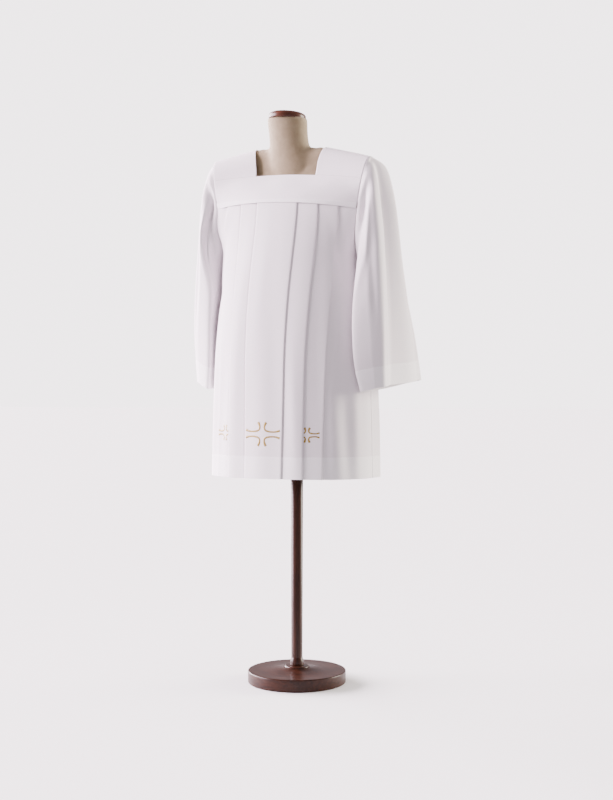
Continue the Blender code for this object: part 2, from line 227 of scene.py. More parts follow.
def smooth_rows(table, key, at):
    """Rows of a table at these key values, on a smooth curve through its rows."""
    rows = np.array(table, float)
    keys = rows[:, key]
    if keys[0] > keys[-1]:
        rows = rows[::-1]
        keys = keys[::-1]
    slopes = np.gradient(rows, keys, axis=0)
    at = np.clip(np.asarray(at, float), keys[0], keys[-1])
    low = np.clip(np.searchsorted(keys, at, side="right") - 1, 0, len(keys) - 2)
    span = keys[low + 1] - keys[low]
    part = ((at - keys[low]) / span)[..., None]
    span = span[..., None]
    start = rows[low] * (1.0 + 2.0 * part) * (1.0 - part) ** 2
    start = start + slopes[low] * span * part * (1.0 - part) ** 2
    end = rows[low + 1] * (3.0 - 2.0 * part) * part**2
    end = end + slopes[low + 1] * span * (part - 1.0) * part**2
    return start + end


def leaned(points):
    """Points of the upright garment, moved to where the leaning form holds them."""
    moved = np.array(points, float)
    moved[..., 2] -= LEAN * moved[..., 0] * smooth(moved[..., 2], LEAN_FROM, LEAN_FULL)
    return moved


def fuller_side(points):
    """Points with the wearer's right side fuller under the arm, where the cloth stands away."""
    moved = np.array(points, float)
    high = between(moved[..., 2], *SIDE_FULL_HEIGHTS)
    aside = between(-moved[..., 0], *SIDE_FULL_WIDTHS)
    moved[..., 0] -= SIDE_FULLNESS * high * aside
    return moved


def armhole(angle):
    """Points of the wearer's left armhole: 0 is the shoulder, and positive angles are in front."""
    turn = np.radians(np.asarray(angle, float))
    depth = np.where(turn > 0, ARMHOLE_FRONT, ARMHOLE_BACK)
    rise = ARMHOLE_RISE * np.cos(turn)
    height = (rise + ARMHOLE_RISE) / (2.0 * ARMHOLE_RISE)
    x = ARMHOLE_LOW_X + (ARMHOLE_TOP_X - ARMHOLE_LOW_X) * height
    y = -depth * np.sin(turn) + SIDE_SEAM_Y * (1.0 - height) + ARMHOLE_TOP_Y * height**2
    return np.stack([x, y, ARMHOLE_CENTRE + rise], axis=-1)


def body_outline(height, facing):
    """Points across half of a row, from the middle to its edge, and their distances."""
    _, half_width, front, back, square = smooth_rows(BODY, 0, height)
    middle = front if facing > 0 else back
    steps = np.linspace(0.0, 1.0, 241)
    across = np.sin(steps * math.pi / 2.0) ** (2.0 / square)
    deep = 1.0 - np.cos(steps * math.pi / 2.0) ** (2.0 / square)
    x = half_width * across
    y = middle + (SIDE_SEAM_Y - middle) * deep
    z = np.full(len(x), float(height))
    if height > UNDERARM_HEIGHT:
        share = (height - UNDERARM_HEIGHT) / (SEAM_HEIGHT - UNDERARM_HEIGHT)
        edge_z = height - SEAM_SIDE_DROP * share
        turn = math.degrees(math.acos((edge_z - ARMHOLE_CENTRE) / ARMHOLE_RISE))
        edge_x, edge_y, _ = armhole(facing * turn)
        cut = np.interp(facing * edge_y, facing * y, steps)
        x = np.interp(steps * cut, steps, x)
        y = np.interp(steps * cut, steps, y)
        near_edge = steps**4
        x = x + (edge_x - x[-1]) * near_edge
        y = y + (edge_y - y[-1]) * near_edge
        bend = (x / edge_x) ** ROW_SAG
        flatness = float(smooth(height, FLATTER_FROM, SEAM_HEIGHT))
        y = (1.0 - flatness) * y + flatness * (middle + (edge_y - middle) * bend)
        z = height + (edge_z - height) * bend
    points = np.stack([x, y, z], axis=1)
    return points, run_along(points)


def on_body(outline, distances, depths):
    """Points on a row, set in from its outer face along the row's normal."""
    points, runs = outline
    distances = np.asarray(distances, float)

    def at(places):
        return np.stack([np.interp(places, runs, points[:, axis]) for axis in range(3)], axis=-1)

    along = at(distances + NORMAL_REACH) - at(np.abs(distances - NORMAL_REACH))
    near_middle = distances < NORMAL_REACH
    outward = 1.0 if points[0, 1] > 0 else -1.0
    normal = np.stack([along[:, 1], -along[:, 0], np.zeros(len(along))], axis=1)
    normal /= np.maximum(np.linalg.norm(normal, axis=1), 1e-9)[:, None]
    wrong = np.where(distances < runs[-1] * 0.6, normal[:, 1] * outward < 0, normal[:, 0] < 0)
    normal[wrong] *= -1.0
    normal[near_middle] = (0.0, outward, 0.0)
    return at(distances) - np.asarray(depths, float)[:, None] * normal


def folds_at(height):
    """Distances of the fold edges from the middle at this height, and the pitch of the layers."""
    share = (height - HEM_HEIGHT) / (SEAM_HEIGHT - HEM_HEIGHT)
    spread = float(smooth(share, 0.0, 0.9))
    folds = PLEAT_FOLDS_AT_HEM + (PLEAT_FOLDS - PLEAT_FOLDS_AT_HEM) * spread
    return folds, PITCH_AT_HEM + (PITCH_AT_SEAM - PITCH_AT_HEM) * share


MIDDLE_STEPS = 13
TURN_STEPS = 7
UNDER_STEPS = 6
BETWEEN_STEPS = 21
BETWEEN_EASE = 1.6
SIDE_STEPS = 33
SIDE_LEVEL = 0.62


def pleated_half(run, pitch, folds):
    """Half of a pleated row: distance from the middle, depth below the face, if it shows."""
    radius = pitch / 2.0
    turn = np.radians(np.linspace(-90.0, 90.0, TURN_STEPS))[1:]
    parts = [(np.linspace(0.0, folds[0] - radius, MIDDLE_STEPS), np.zeros(MIDDLE_STEPS), 1)]
    under = np.ones(UNDER_STEPS - 1)
    for number, fold in enumerate(folds):
        inner = fold - PLEAT_UNDER
        tuck = fold + PLEAT_TUCK
        parts.append((fold - radius + radius * np.cos(turn), radius + radius * np.sin(turn), 1))
        back = np.linspace(fold - radius, inner + radius, UNDER_STEPS)[1:]
        parts.append((back, pitch * under, 0))
        round_under = pitch + radius + radius * np.sin(turn)
        parts.append((inner + radius - radius * np.cos(turn), round_under, 0))
        forth = np.linspace(inner + radius, tuck, UNDER_STEPS)[1:]
        parts.append((forth, 2.0 * pitch * under, 0))
        if number < len(folds) - 1:
            rise = np.linspace(0.0, 1.0, BETWEEN_STEPS)[1:] ** BETWEEN_EASE
            place = tuck + (folds[number + 1] - radius - tuck) * rise
            dip = FOLD_FOOT * bell(place, fold, FOLD_FOOT_WIDTH)
            parts.append((place, 2.0 * pitch * (1.0 - rise) + dip, 1))
        else:
            side = np.linspace(0.0, 1.0, SIDE_STEPS)[1:]
            level = 1.0 - smooth(side, 0.0, SIDE_LEVEL)
            parts.append((tuck + (run - tuck) * side, 2.0 * pitch * level, 1))
    distance = np.concatenate([part[0] for part in parts])
    depth = np.concatenate([part[1] for part in parts])
    shows = np.concatenate([np.full(len(part[0]), part[2]) for part in parts])
    return distance, depth, shows


# Soft troughs and ridges of the hanging cloth, placed on the front and on the back
PANEL_CREASES = {
    1: (
        # distance, height, drift, half_width, half_length, lift
        (0.205, 0.700, 0.020, 0.022, 0.190, 0.0036),
        (0.238, 0.720, 0.012, 0.018, 0.170, -0.0032),
        (0.264, 0.740, 0.010, 0.018, 0.200, 0.0030),
        (-0.214, 0.760, -0.010, 0.020, 0.260, 0.0040),
        (-0.245, 0.720, 0.006, 0.016, 0.200, -0.0040),
        (-0.268, 0.760, 0.004, 0.014, 0.220, 0.0035),
        (0.030, 0.900, 0.014, 0.026, 0.240, -0.0012),
        (-0.026, 1.080, -0.010, 0.022, 0.200, 0.0010),
        (0.092, 0.760, 0.010, 0.018, 0.180, 0.0016),
        (0.150, 0.980, 0.012, 0.020, 0.220, -0.0014),
        (-0.092, 0.940, -0.008, 0.020, 0.260, 0.0014),
        (-0.150, 0.760, -0.010, 0.018, 0.200, -0.0012),
        (0.196, 1.170, 0.030, 0.016, 0.090, -0.0030),
        (-0.196, 1.150, -0.034, 0.016, 0.110, -0.0034),
    ),
    -1: (
        # distance, height, drift, half_width, half_length, lift
        (0.210, 0.720, 0.014, 0.018, 0.210, 0.0048),
        (0.240, 0.700, 0.010, 0.014, 0.180, -0.0046),
        (0.264, 0.760, 0.008, 0.014, 0.200, 0.0040),
        (-0.206, 0.740, -0.016, 0.018, 0.200, 0.0046),
        (-0.238, 0.760, -0.008, 0.015, 0.210, -0.0048),
        (-0.264, 0.720, 0.004, 0.014, 0.190, 0.0040),
        (0.024, 0.820, -0.012, 0.024, 0.220, -0.0012),
        (-0.030, 1.040, 0.010, 0.024, 0.200, 0.0012),
        (0.094, 0.980, 0.008, 0.020, 0.220, 0.0014),
        (-0.148, 0.900, -0.008, 0.020, 0.240, 0.0014),
        (0.198, 1.160, 0.026, 0.016, 0.100, -0.0030),
        (-0.198, 1.160, -0.026, 0.016, 0.100, -0.0030),
    ),
}


def panel_lift(distance, height, facing):
    """How far the listed troughs and ridges move the cloth outward."""
    total = np.zeros(np.shape(distance))
    for at, middle, drift, half_width, half_length, lift in PANEL_CREASES[facing]:
        along = (height - middle) / half_length
        centre = at - drift * along
        total = total + lift * bell(distance, centre, half_width) * math.exp(-(along**2))
    hang = 1.0 - smooth(height, 0.60, 1.25)
    return total + PANEL_RIPPLE * hang * np.sin(distance * 61.0 + 2.1 * facing)


def hem_steps(deep):
    """Distances from a hem's turned edge: close together at the fold and at its stitching."""
    even = np.linspace(0.008, deep - 0.0035, 9)
    stitching = deep + np.array((-0.0015, 0.0, 0.0015, 0.0035))
    return np.concatenate([[0.0, 0.0008, 0.003], even, stitching])


PANEL_ROWS = 104
ABOVE_STITCHING = 0.0075


def panel_heights():
    """Heights of the rows, from the hem's edge to behind the yoke's ridge."""
    hem = HEM_HEIGHT + hem_steps(HEM_STITCH_HEIGHT - HEM_HEIGHT)
    top = SEAM_HEIGHT + TOP_BEHIND_RIDGE
    return np.concatenate([hem, np.linspace(HEM_STITCH_HEIGHT + ABOVE_STITCHING, top, PANEL_ROWS)])


def panel_rows(facing):
    """The panel's middle surface as rows of points, with cloth coordinates and what shows."""
    rows, across, shows = [], [], []
    for height in panel_heights():
        outline = body_outline(height, facing)
        folds, pitch = folds_at(height)
        distance, depth, shown = pleated_half(outline[1][-1], pitch, folds)
        fade = 1.0 - smooth(distance, outline[1][-1] - 0.020, outline[1][-1])
        sewn = 1.0 - float(smooth(height, SEAM_HEIGHT - 0.030, SEAM_HEIGHT))
        halves = []
        for side in (-1.0, 1.0):
            lift = panel_lift(side * distance, height, facing) * fade * sewn
            wander = FOLD_WANDER * np.sin(height * 8.0 + distance * 24.0 + side) * fade * sewn
            place = np.maximum(distance + wander * (distance > 0.03), 0.0)
            half = on_body(outline, place, depth - lift)
            halves.append(half * (side, 1.0, 1.0))
        length = np.concatenate([[0.0], np.cumsum(np.hypot(np.diff(distance), np.diff(depth)))])
        row = np.concatenate([halves[0][:0:-1], halves[1]])
        for end in (0, -1):
            row[end, 1] -= facing * SEAM_GAP
        run = np.concatenate([-length[:0:-1], length])
        seen = np.concatenate([shown[:0:-1], shown])
        flip = slice(None) if facing > 0 else slice(None, None, -1)
        rows.append(leaned(fuller_side(row))[flip])
        across.append(run[flip])
        shows.append(seen[flip])
    return np.array(rows), np.array(across), np.array(shows)


def cloth_mesh(name, rows, across, up, closed=False):
    """A sheet with one face between each four points, and its cloth coordinates in metres."""
    count, columns = rows.shape[:2]
    index = np.arange(count * columns).reshape(count, columns)
    left, right = (index, np.roll(index, -1, axis=1)) if closed else (index[:, :-1], index[:, 1:])
    faces = np.stack([left[:-1], right[:-1], right[1:], left[1:]], axis=-1).reshape(-1, 4)
    mesh = bpy.data.meshes.new(name)
    mesh.from_pydata(rows.reshape(-1, 3).tolist(), [], faces.tolist())
    places = np.stack([across, np.broadcast_to(up, across.shape)], axis=-1)
    if closed:
        seam = places[:, :1].copy()
        seam[:, 0, 0] = across[:, -1] + (across[:, 1] - across[:, 0])
        places = np.concatenate([places, seam], axis=1)
    corners = np.stack([places[:-1, :-1], places[:-1, 1:], places[1:, 1:], places[1:, :-1]], axis=2)
    uv = mesh.uv_layers.new(name="cloth")
    uv.data.foreach_set("uv", corners.reshape(-1).astype(np.float32))
    mesh.shade_smooth()
    return new_object(name, mesh)


def pick(piece):
    """Make this piece the active one and the only one selected."""
    bpy.ops.object.select_all(action="DESELECT")
    bpy.context.view_layer.objects.active = piece
    piece.select_set(True)


def give_wall(piece, doubled):
    """Thickness to a sheet, twice as much where it is doubled, at a hem or a turned edge."""
    group = piece.vertex_groups.new(name="wall")
    flags = np.asarray(doubled).reshape(-1)
    for value in np.unique(flags):
        chosen = np.nonzero(flags == value)[0].tolist()
        group.add(chosen, 0.5 + 0.5 * float(value), "REPLACE")
    marks = piece.data.attributes.new("doubled", "FLOAT", "POINT")
    marks.data.foreach_set("value", flags.astype(np.float32))
    wall = piece.modifiers.new("wall", "SOLIDIFY")
    wall.thickness = 2.0 * CLOTH_THICK
    wall.offset = 0.0
    wall.use_even_offset = False
    wall.vertex_group = "wall"
    pick(piece)
    bpy.ops.object.modifier_apply(modifier="wall")
    piece.vertex_groups.clear()
    piece.select_set(False)


def row_normals(rows):
    """Outward normals of a sheet at its points."""
    across = np.gradient(rows, axis=1)
    up = np.gradient(rows, axis=0)
    normal = np.cross(across, up)
    return normal / np.maximum(np.linalg.norm(normal, axis=-1), 1e-12)[..., None]


STITCH_SPACING = 0.0031
STITCH_LENGTH = 0.0021
STITCH_RADIUS = 0.00022

STITCH_RINGS = (
    # share of its length, share of its radius, rise in radii
    (0.00, 0.35, -0.70),
    (0.16, 0.95, 0.10),
    (0.50, 1.15, 0.35),
    (0.84, 0.95, 0.10),
    (1.00, 0.35, -0.70),
)


def stitch_points(path, outward):
    """Points and faces of a row of small raised stitches along a line on the cloth."""
    path = np.asarray(path, float)
    run = run_along(path)
    starts = np.arange(STITCH_SPACING * 0.5, run[-1] - STITCH_LENGTH, STITCH_SPACING)
    points, faces = [], []
    around = np.radians(np.arange(0.0, 360.0, 72.0))
    sides = len(around)
    last = (len(STITCH_RINGS) - 1) * sides
    for start in starts:
        ring_at = start + STITCH_LENGTH * np.array([ring[0] for ring in STITCH_RINGS])
        centre = np.stack([np.interp(ring_at, run, path[:, axis]) for axis in range(3)], axis=1)
        normal = np.array([np.interp(start, run, outward[:, axis]) for axis in range(3)])
        normal /= np.linalg.norm(normal)
        along = centre[-1] - centre[0]
        along /= np.linalg.norm(along)
        beside = np.cross(along, normal)
        base = len(points)
        for ring, (_, size, rise) in enumerate(STITCH_RINGS):
            middle = centre[ring] + normal * (CLOTH_THICK * 0.5 + rise * STITCH_RADIUS)
            for turn in around:
                out = math.cos(turn) * beside + math.sin(turn) * normal
                points.append(middle + STITCH_RADIUS * size * out)
        for low in range(base, base + last, sides):
            for step in range(sides):
                after = (step + 1) % sides
                faces.append((low + step, low + after, low + sides + after, low + sides + step))
        faces.append(tuple(base + step for step in reversed(range(sides))))
        faces.append(tuple(base + last + step for step in range(sides)))
    return points, faces


def stitch_piece(name, lines):
    """One mesh of all the rows of stitches on a piece. Each line is its path and outward side."""
    points, faces = [], []
    for path, outward in lines:
        more, sides = stitch_points(path, outward)
        faces += [tuple(len(points) + corner for corner in side) for side in sides]
        points += more
    mesh = bpy.data.meshes.new(name)
    mesh.from_pydata([tuple(point) for point in points], [], faces)
    made = bmesh.new()
    made.from_mesh(mesh)
    bmesh.ops.recalc_face_normals(made, faces=made.faces)
    made.to_mesh(mesh)
    made.free()
    mesh.shade_smooth()
    mesh.materials.append(white_thread)
    piece = new_object(name, mesh)
    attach(piece, "root")
    return piece


def sew(piece, doubled, lines, stitches_name):
    """Give a cloth piece its wall, its finish and its rows of stitches."""
    give_wall(piece, doubled)
    piece.data.materials.append(cloth_finish)
    stitches = stitch_piece(piece.name.replace("cloth", stitches_name), lines)
    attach(piece, "root")
    return piece, stitches


def shown_runs(flags):
    """Start and end of each unbroken stretch of cloth that shows."""
    edges = np.flatnonzero(np.diff(np.concatenate([[0], flags, [0]])))
    return [(low, high) for low, high in zip(edges[::2], edges[1::2]) if high - low > 2]


def woven(tree, place, output, directions, **values):
    """Threads in two directions, added together."""
    weave = node(tree, "Math")
    weave.operation = "ADD"
    for entry, direction in enumerate(directions):
        threads = node(tree, "TexWave", **values)
        threads.bands_direction = direction
        join(tree, (place, output, threads, "Vector"), (threads, "Fac", weave, entry))
    return weave


def white_cloth(name):
    """Fine white weave: threads both ways in the bump, with faint slubs in tone and gloss."""
    material, tree, shader = finish_of(name, (0.83, 0.785, 0.815), 0.78)
    place = node(tree, "UVMap")
    place.uv_map = "cloth"
    weave = woven(tree, place, "UV", "XY", Scale=420.0, Distortion=0.6, Detail=1.0)
    stretch = node(tree, "Mapping", Scale=(60.0, 900.0, 1.0))
    slub = node(tree, "TexNoise", Scale=1.0, Detail=3.0)
    tone = ramp(tree, (0.815, 0.758, 0.795), (0.845, 0.790, 0.826), (0.35, 0.65))
    layers = node(tree, "Attribute")
    layers.attribute_name = "doubled"
    fuller = node(tree, "Mix")
    fuller.data_type = "RGBA"
    fuller.inputs[7].default_value = (0.920, 0.885, 0.910, 1.0)
    rough = node(tree, "MapRange", To_Min=0.72, To_Max=0.86)
    bump = node(tree, "Bump", Strength=0.25, Distance=0.0003)
    join(
        tree,
        (place, "UV", stretch, "Vector"),
        (stretch, "Vector", slub, "Vector"),
        (slub, "Fac", tone, "Fac"),
        (slub, "Fac", rough, "Value"),
        (layers, "Fac", fuller, 0),
        (tone, "Color", fuller, 6),
        (weave, "Value", bump, "Height"),
        (fuller, 2, shader, "Base Color"),
        (rough, "Result", shader, "Roughness"),
        (bump, "Normal", shader, "Normal"),
    )
    shader.inputs["Specular IOR Level"].default_value = 0.25
    shader.inputs["Sheen Weight"].default_value = 0.18
    shader.inputs["Sheen Roughness"].default_value = 0.45
    return material


def pattern_finish(tree, shader, pattern, tone, bump):
    """Join a pattern to the shader through a ramp of tones and a bump."""
    join(
        tree,
        (pattern, "Fac", tone, "Fac"),
        (pattern, "Fac", bump, "Height"),
        (tone, "Color", shader, "Base Color"),
        (bump, "Normal", shader, "Normal"),
    )


def thread_finish(name, colour, roughness):
    """Sewing thread: two plies twisted together, which shows as fine slanted bands."""
    material, tree, shader = finish_of(name, colour, roughness)
    ply = node(tree, "TexWave", Scale=900.0, Distortion=0.4)
    ply.bands_direction = "DIAGONAL"
    join(tree, (node(tree, "TexCoord"), "Object", ply, "Vector"))
    tone = ramp(tree, [0.88 * part for part in colour], colour)
    pattern_finish(tree, shader, ply, tone, node(tree, "Bump", Strength=0.3, Distance=0.0001))
    return material


cloth_finish = white_cloth("surplice_cloth")
white_thread = thread_finish("white_sewing_thread", (0.86, 0.84, 0.85), 0.55)


def make_panel(name, facing):
    """One pleated panel with the stitches of its hem."""
    rows, across, shows = panel_rows(facing)
    heights = panel_heights()
    normals = row_normals(rows)
    groove = bell(heights, HEM_STITCH_HEIGHT, GROOVE_WIDTH) * STITCH_GROOVE
    panel = cloth_mesh(name, rows - normals * groove[:, None, None], across, heights[:, None])
    doubled = (heights < HEM_STITCH_HEIGHT + 0.001)[:, None] & np.ones(rows.shape[1], bool)
    at = int(np.argmin(np.abs(heights - HEM_STITCH_HEIGHT)))
    lines = [(rows[at, low:high], normals[at, low:high]) for low, high in shown_runs(shows[at])]
    return sew(panel, doubled, lines, "hem_stitches")


front_cloth, front_stitches = make_panel("front_panel_cloth", 1)
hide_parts("front_panel")

# ---- Back panel ----
# The same weave, pleated in the same way from its middle, and sewn to the front at the sides.

back_cloth, back_stitches = make_panel("back_panel_cloth", -1)
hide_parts("back_panel")

# ---- Yoke ----
# A square yoke of the same cloth: a band in front, one behind, and a piece over each shoulder.
# A raised ridge along its lower edge holds the tops of the pleats, with stitches on both sides.

NECK_FRONT_ANGLE = 58.0
NECK_BACK_ANGLE = -42.0
SEAM_ANGLE = 95.0
RIDGE_PROUD = 0.0024
RIDGE_TOP = (0.0108, 0.0122)
RIDGE_LIP = 0.0004
RIDGE_LIP_TOP = 0.002
YOKE_RIPPLE = 0.0007
YOKE_METRES_PER_DEGREE = 0.0017
YOKE_HALF_WIDTH = 0.234
SHOULDER_HALF_WIDTH = 0.246
RIDGE_STITCH_ANGLES = (94.0, 89.6)
NECK_STITCH_ANGLE = 3.3
SHOULDER_GAP_ANGLE = 0.04

YOKE = (
    # angle, middle_y, middle_z, power, neck_x
    (95.0, -0.1110, 1.3230, 2.2, 0.094),
    (86.0, -0.1045, 1.3370, 2.1, 0.094),
    (72.0, -0.0860, 1.3700, 1.9, 0.094),
    (58.0, -0.0620, 1.4070, 1.7, 0.095),
    (40.0, -0.0555, 1.4520, 1.5, 0.100),
    (20.0, -0.0460, 1.4880, 1.3, 0.107),
    (0.0, -0.0280, 1.5010, 1.3, 0.112),
    (-20.0, 0.0000, 1.4920, 1.3, 0.113),
    (-42.0, 0.0300, 1.4620, 1.5, 0.112),
    (-62.0, 0.0620, 1.4200, 1.7, 0.111),
    (-80.0, 0.0930, 1.3750, 1.9, 0.110),
    (-95.0, 0.1180, 1.3230, 2.2, 0.110),
)


def yoke_points(angle, across, raised):
    """Points of the yoke: across runs from 0 in the middle to 1 at the armhole."""
    table = smooth_rows(YOKE, 0, angle)
    edge = armhole(angle)
    bend = np.abs(across) ** table[..., 3]
    y = table[..., 1] + (edge[..., 1] - table[..., 1]) * bend
    z = table[..., 2] + (edge[..., 2] - table[..., 2]) * bend
    out = np.sign(angle) * raised
    return np.stack([edge[..., 0] * across, y - out * 0.8, z + raised * 0.6], axis=-1)


def yoke_ridge(angle):
    """How far the yoke stands proud where the pleats are sewn in behind it."""
    above = (SEAM_ANGLE - np.abs(angle)) * YOKE_METRES_PER_DEGREE
    lip = RIDGE_LIP * (1.0 - smooth(above, 0.0, RIDGE_LIP_TOP))
    return RIDGE_PROUD * (1.0 - smooth(above, *RIDGE_TOP)) + lip


def yoke_band(name, facing, neck_angle):
    """A band from armhole to armhole, with rows of stitches on its ridge and at the neck."""
    near = [95.0, 94.8, 94.6, 94.4, 94.2, 93.9, 93.4, 92.6, 91.6, 90.6, 89.6]
    near += [89.0, 88.8, 88.6, 88.4, 88.2, 88.0, 87.8, 87.6, 87.2]
    rest = list(np.linspace(86.6, abs(neck_angle) + 6.0, 24))
    neck = list(np.linspace(abs(neck_angle) + 5.4, abs(neck_angle), 12))
    angles = facing * np.array(near + rest + neck)
    shares = facing * np.linspace(-1.0, 1.0, 161)
    angle, share = np.meshgrid(angles, shares, indexing="ij")
    rows = yoke_points(angle, share, yoke_ridge(angle))
    wave = YOKE_RIPPLE * np.sin(share * 11.0 + 1.3 * facing)
    wave = wave * np.sin(np.radians(np.abs(angle)) * 7.0)
    wave = wave * smooth(np.abs(angle), abs(neck_angle), abs(neck_angle) + 8.0)
    wave = wave * (1.0 - smooth(np.abs(angle), 80.0, 87.0))
    rows[..., 1] -= facing * wave * (1.0 - smooth(np.abs(share), 0.85, 1.0))
    rows = leaned(rows)
    normals = row_normals(rows)
    across = share * facing * YOKE_HALF_WIDTH
    band = cloth_mesh(name, rows, across, run_along(rows[:, 80])[:, None])
    ridge = 0.8 * (yoke_ridge(angles) > 0.3 * RIDGE_PROUD)
    lines = []
    for at_angle in (*RIDGE_STITCH_ANGLES, abs(neck_angle) + NECK_STITCH_ANGLE):
        row = int(np.argmin(np.abs(np.abs(angles) - at_angle)))
        lines.append((rows[row, 2:-2], normals[row, 2:-2]))
    return sew(band, ridge[:, None] * np.ones(rows.shape[1]), lines, "stitches")


for place, facing, neck_angle, flat in (
    ("front", 1.0, NECK_FRONT_ANGLE, (0.50, 0.100)),
    ("back", -1.0, NECK_BACK_ANGLE, (0.52, 0.160)),
):
    band_cloth, band_stitches = yoke_band(f"yoke_{place}_cloth", facing, neck_angle)
    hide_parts(f"yoke_{place}")


def yoke_shoulder(name, side):
    """The piece over one shoulder, with a row of stitches beside the neck and at each end."""
    first_angle = NECK_FRONT_ANGLE - SHOULDER_GAP_ANGLE
    angles = np.linspace(first_angle, NECK_BACK_ANGLE + SHOULDER_GAP_ANGLE, 101)
    neck_x = smooth_rows(YOKE, 0, angles)[:, 4]
    first = neck_x / armhole(angles)[:, 0]
    inner = np.concatenate([np.linspace(0.0, 0.05, 4), np.linspace(0.06, 1.0, 44)])
    share = first[:, None] + (1.0 - first[:, None]) * inner
    angle = np.broadcast_to(angles[:, None], share.shape)
    order = slice(None) if side > 0 else slice(None, None, -1)
    rows = leaned(yoke_points(angle, side * share, np.zeros(share.shape)))[:, order]
    normals = row_normals(rows)
    across = side * (share * SHOULDER_HALF_WIDTH)[:, order]
    piece = cloth_mesh(name, rows, across, run_along(rows[:, 24])[:, None])
    column = int(np.argmin(np.abs(inner - 0.075)))
    column = column if side > 0 else rows.shape[1] - 1 - column
    lines = [(rows[1:-1, column], normals[1:-1, column])]
    for row in (4, -5):
        lines.append((rows[row, 2:-2], normals[row, 2:-2]))
    return sew(piece, np.zeros(rows.shape[:2]), lines, "stitches")


for hand, side in (("left", 1.0), ("right", -1.0)):
    shoulder_cloth, shoulder_stitches = yoke_shoulder(f"yoke_shoulder_{hand}_cloth", side)
    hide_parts(f"yoke_shoulder_{hand}")

# ---- Sleeves ----
# Long bell sleeves of the same cloth, set into the armholes. Each hangs empty from the shoulder
# in long soft folds, with a soft break below the top of its cap and a deep hem at the cuff.

CUFF_TILT = 0.100
CUFF_HEM = 0.058
FRONT_TURN = 0.030
FRONT_NARROW = 0.012
SLEEVE_BREAK = 0.012
BREAK_ALONG = 0.15
BREAK_LENGTH = 0.07
BREAK_ANGLE = 82.0
BREAK_WIDTH = 30.0
FOLD_MIDDLE = 0.35
CREASE_ENDS = (-0.05, 0.3, 0.7, 1.05)
RIGHT_CUFF_DROP = 0.012
SLEEVE_ROWS = 96
WALL = 0.0012

SLEEVE = (
    # out_x, out_z, in_x, in_z, front_y, back_y, squareness, wrap
    (0.2480, 1.4560, 0.1990, 1.1900, -0.052, 0.072, 2.0, 0.000),
    (0.2720, 1.4320, 0.2100, 1.1560, -0.059, 0.076, 2.3, 0.004),
    (0.2860, 1.3640, 0.2170, 1.1150, -0.069, 0.078, 2.7, 0.010),
    (0.2940, 1.2800, 0.2240, 1.0700, -0.078, 0.084, 3.1, 0.018),
    (0.2990, 1.1860, 0.2300, 1.0240, -0.087, 0.100, 3.5, 0.025),
    (0.3040, 1.0840, 0.2345, 0.9700, -0.092, 0.132, 3.8, 0.028),
    (0.3060, 0.9680, 0.2400, 0.8980, -0.089, 0.172, 4.4, 0.026),
    (0.3040, 0.8440, 0.2480, 0.8260, -0.076, 0.204, 5.0, 0.016),
)

SLEEVE_FOLDS = (
    # forward_top, forward_cuff, half_width, lift_top, lift_middle, lift_cuff
    (0.82, 0.82, 0.15, 0.0040, 0.0080, 0.0060),
    (0.28, 0.14, 0.24, -0.0050, -0.0180, -0.0150),
    (-0.30, -0.42, 0.20, 0.0040, 0.0070, 0.0050),
    (-0.78, -0.82, 0.16, -0.0030, -0.0090, -0.0070),
)

# Smaller creases: from one angle and share of the length to another, half width and lift
SLEEVE_CREASES = {
    1.0: (
        # angle_from, along_from, angle_to, along_to, half_width, lift
        (60.0, 0.10, 96.0, 0.55, 10.0, 0.0030),
        (120.0, 0.08, 150.0, 0.42, 14.0, -0.0040),
        (75.0, 0.35, 60.0, 0.80, 12.0, -0.0025),
        (-75.0, 0.12, -100.0, 0.60, 14.0, -0.0040),
        (-120.0, 0.30, -135.0, 0.90, 16.0, 0.0030),
        (30.0, 0.45, 34.0, 0.98, 9.0, 0.0020),
    ),
    -1.0: (
        # angle_from, along_from, angle_to, along_to, half_width, lift
        (72.0, 0.04, 112.0, 0.38, 9.0, -0.0070),
        (66.0, 0.08, 88.0, 0.50, 11.0, 0.0032),
        (116.0, 0.10, 146.0, 0.46, 13.0, -0.0046),
        (70.0, 0.40, 58.0, 0.86, 11.0, -0.0028),
        (-70.0, 0.14, -96.0, 0.64, 15.0, -0.0040),
        (-124.0, 0.26, -130.0, 0.84, 15.0, 0.0030),
        (26.0, 0.50, 36.0, 0.98, 10.0, 0.0018),
    ),
}


def sleeve_lift(angle, along, forward, up, side):
    """How far the folds and creases raise or sink a sleeve."""
    total = np.zeros(np.broadcast(angle, along).shape)
    for top, cuff, half_width, lift_top, lift_middle, lift_cuff in SLEEVE_FOLDS:
        apart = forward - (top + (cuff - top) * along)
        to_middle = np.minimum(along / FOLD_MIDDLE, 1.0)
        to_cuff = np.maximum(0.0, (along - FOLD_MIDDLE) / (1.0 - FOLD_MIDDLE))
        lift = lift_top + (lift_middle - lift_top) * to_middle + (lift_cuff - lift_middle) * to_cuff
        total = total + lift * bell(apart, 0.0, half_width) * smooth(up, 0.0, 0.5)
    for start, along_from, end, along_to, half_width, lift in SLEEVE_CREASES[side]:
        part = (along - along_from) / (along_to - along_from)
        centre = start + (end - start) * part
        apart = (angle - centre + 180.0) % 360.0 - 180.0
        fade = between(part, *CREASE_ENDS)
        total = total + lift * fade * bell(apart, 0.0, half_width)
    break_at = bell(along, BREAK_ALONG, BREAK_LENGTH) * bell(angle, BREAK_ANGLE, BREAK_WIDTH)
    return (total - SLEEVE_BREAK * break_at) * smooth(along, 0.0, 0.06)


